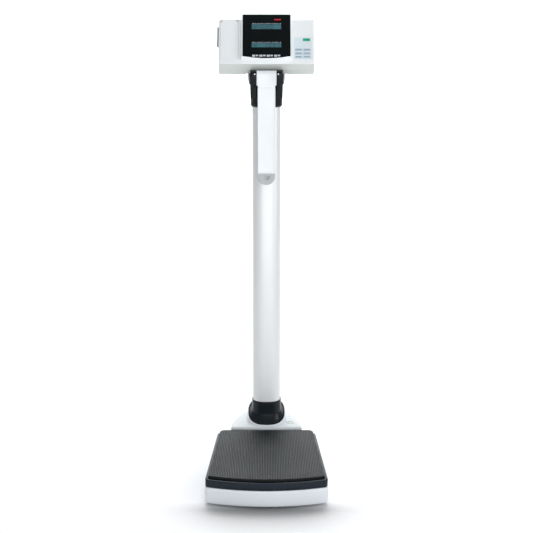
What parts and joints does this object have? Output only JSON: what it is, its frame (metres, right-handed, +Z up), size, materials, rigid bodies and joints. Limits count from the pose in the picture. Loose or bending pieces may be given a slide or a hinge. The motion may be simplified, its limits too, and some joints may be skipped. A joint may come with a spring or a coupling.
{
  "type": "column scale",
  "caption": "Free-standing electronic column scale: ribbed weighing platform, oval column, telescoping height mast with folding head paddle, and a console with displays and keys.",
  "frame": {"origin": "on the floor under the middle of the bounding box", "axes": "+Z up along the column, -Y towards the person on the platform, +X to the right of someone facing the scale"},
  "size_m": [0.354, 0.56, 1.3704],
  "materials": {
    "white_casing": "satin moulded",
    "plate_steel": "zinc plated",
    "board": "solder mask",
    "castor_rubber": "matt",
    "pin_steel": "bright",
    "black_tray": "satin",
    "tread_rubber": "ribbed",
    "black_trim": "satin",
    "level_glass": "clear",
    "column_paint": "silver satin",
    "dark_plastic": "moulded",
    "pale_plastic": "moulded",
    "mast_aluminium": "anodised",
    "bracket_black": "semi gloss",
    "grey_plastic": "satin",
    "white_console": "satin moulded",
    "lens_black": "polished",
    "lcd": "lit glass",
    "grey_rubber": "silicone",
    "green_key": "silicone",
    "grey_key": "silicone",
    "paper": "thermal paper",
    "tear_grey": "satin",
    "cell_aluminium": "milled",
    "foot_rubber": "matt",
    "paddle_white": "satin"
  },
  "bodies": {
    "base": {"base_casing": "white_casing", "base_plate": "plate_steel", "load_cell_front_left": "cell_aluminium", "load_cell_front_right": "cell_aluminium", "load_cell_rear_left": "cell_aluminium", "load_cell_rear_right": "cell_aluminium", "junction_board": "board", "castor_axles": "pin_steel", "rear_cover": "white_casing", "level_body": "pale_plastic", "level_vial": "level_glass", "collar_ring": "black_trim", "column_boot": "black_trim", "column_tube": "column_paint", "column_flange": "plate_steel", "flange_bolts": "pin_steel", "column_guide": "dark_plastic"},
    "platform": {"platform_tray": "black_tray", "tread_mat": "tread_rubber"},
    "foot_fl": {"foot_front_left": "foot_rubber"},
    "foot_fr": {"foot_front_right": "foot_rubber"},
    "foot_rl": {"foot_rear_left": "foot_rubber"},
    "foot_rr": {"foot_rear_right": "foot_rubber"},
    "castor_l": {"castor_left": "castor_rubber"},
    "castor_r": {"castor_right": "castor_rubber"},
    "encoder": {"encoder_wheel": "pale_plastic"},
    "head": {"mast_tube": "mast_aluminium", "mast_slider": "dark_plastic", "head_bracket": "bracket_black", "bracket_cheeks": "grey_plastic", "bracket_pins": "pin_steel", "head_carrier": "plate_steel", "console_front": "white_console", "console_back": "white_console", "display_pod": "white_console", "display_lens": "lens_black", "lcd_upper": "lcd", "lcd_lower": "lcd", "display_board": "board", "keypad_mat": "grey_rubber", "printer_hinge_pin": "pin_steel", "printer_body": "dark_plastic", "tear_bar": "tear_grey", "console_screws": "pin_steel", "power_inlet": "black_trim", "paddle_pin": "pin_steel"},
    "start_key": {"key_start": "green_key"},
    "printer_flap": {"printer_cover": "white_console"},
    "platen": {"platen_roller": "castor_rubber"},
    "paper": {"paper_roll": "paper"},
    "paddle": {"paddle_arm": "paddle_white", "paddle_tip": "grey_plastic"},
    "keypad_1": {"key_1": "grey_key"},
    "keypad_2": {"key_2": "grey_key"},
    "keypad_3": {"key_3": "grey_key"},
    "keypad_4": {"key_4": "grey_key"},
    "keypad_5": {"key_5": "grey_key"},
    "keypad_6": {"key_6": "grey_key"}
  },
  "joints": [
    {"name": "platform_deflection", "type": "slide", "parent": "base", "child": "platform", "axis": [0, 0, 1], "range_m": [-0.0008, 0], "stiffness_N_per_m": 150000},
    {"name": "foot_turn_fl", "type": "hinge", "parent": "base", "child": "foot_fl", "pos_m": [-0.138, -0.222, 0], "axis": [0, 0, 1], "continuous": true},
    {"name": "foot_turn_fr", "type": "hinge", "parent": "base", "child": "foot_fr", "pos_m": [0.138, -0.222, 0], "axis": [0, 0, 1], "continuous": true},
    {"name": "foot_turn_rl", "type": "hinge", "parent": "base", "child": "foot_rl", "pos_m": [-0.062, 0.216, 0], "axis": [0, 0, 1], "continuous": true},
    {"name": "foot_turn_rr", "type": "hinge", "parent": "base", "child": "foot_rr", "pos_m": [0.062, 0.216, 0], "axis": [0, 0, 1], "continuous": true},
    {"name": "castor_spin_left", "type": "hinge", "parent": "base", "child": "castor_l", "pos_m": [-0.031, 0.258, 0.0235], "axis": [1, 0, 0], "continuous": true},
    {"name": "castor_spin_right", "type": "hinge", "parent": "base", "child": "castor_r", "pos_m": [0.031, 0.258, 0.0235], "axis": [1, 0, 0], "continuous": true},
    {"name": "mast_slide", "type": "slide", "parent": "base", "child": "head", "axis": [0, 0, 1], "range_m": [0, 0.7]},
    {"name": "encoder_spin", "type": "hinge", "parent": "base", "child": "encoder", "pos_m": [0, 0.1913, 1.155], "axis": [-1, 0, 0], "continuous": true},
    {"name": "paddle_fold", "type": "hinge", "parent": "head", "child": "paddle", "pos_m": [0, 0.111, 1.196], "axis": [-1, 0, 0], "range_deg": [0, 90]},
    {"name": "printer_flap_hinge", "type": "hinge", "parent": "head", "child": "printer_flap", "pos_m": [-0.11, 0.1831, 1.34761], "axis": [-1, 0, 0], "range_deg": [0, 80]},
    {"name": "paper_spin", "type": "hinge", "parent": "head", "child": "paper", "pos_m": [-0.11, 0.18038, 1.29491], "axis": [0, 0.5, 0.866], "continuous": true},
    {"name": "platen_spin", "type": "hinge", "parent": "head", "child": "platen", "pos_m": [-0.133, 0.16826, 1.30191], "axis": [0, 0.5, 0.866], "continuous": true},
    {"name": "start_key_press", "type": "slide", "parent": "head", "child": "start_key", "axis": [0, 0.866, -0.5], "range_m": [0, 0.001], "stiffness_N_per_m": 600},
    {"name": "key_1_press", "type": "slide", "parent": "head", "child": "keypad_1", "axis": [0, 0.866, -0.5], "range_m": [0, 0.001], "stiffness_N_per_m": 600},
    {"name": "key_2_press", "type": "slide", "parent": "head", "child": "keypad_2", "axis": [0, 0.866, -0.5], "range_m": [0, 0.001], "stiffness_N_per_m": 600},
    {"name": "key_3_press", "type": "slide", "parent": "head", "child": "keypad_3", "axis": [0, 0.866, -0.5], "range_m": [0, 0.001], "stiffness_N_per_m": 600},
    {"name": "key_4_press", "type": "slide", "parent": "head", "child": "keypad_4", "axis": [0, 0.866, -0.5], "range_m": [0, 0.001], "stiffness_N_per_m": 600},
    {"name": "key_5_press", "type": "slide", "parent": "head", "child": "keypad_5", "axis": [0, 0.866, -0.5], "range_m": [0, 0.001], "stiffness_N_per_m": 600},
    {"name": "key_6_press", "type": "slide", "parent": "head", "child": "keypad_6", "axis": [0, 0.866, -0.5], "range_m": [0, 0.001], "stiffness_N_per_m": 600}
  ],
  "couplings": [
    {"joint": "encoder_spin", "follows": "mast_slide", "rad_per_m": -125},
    {"joint": "platen_spin", "follows": "paper_spin", "ratio": -3.8}
  ]
}
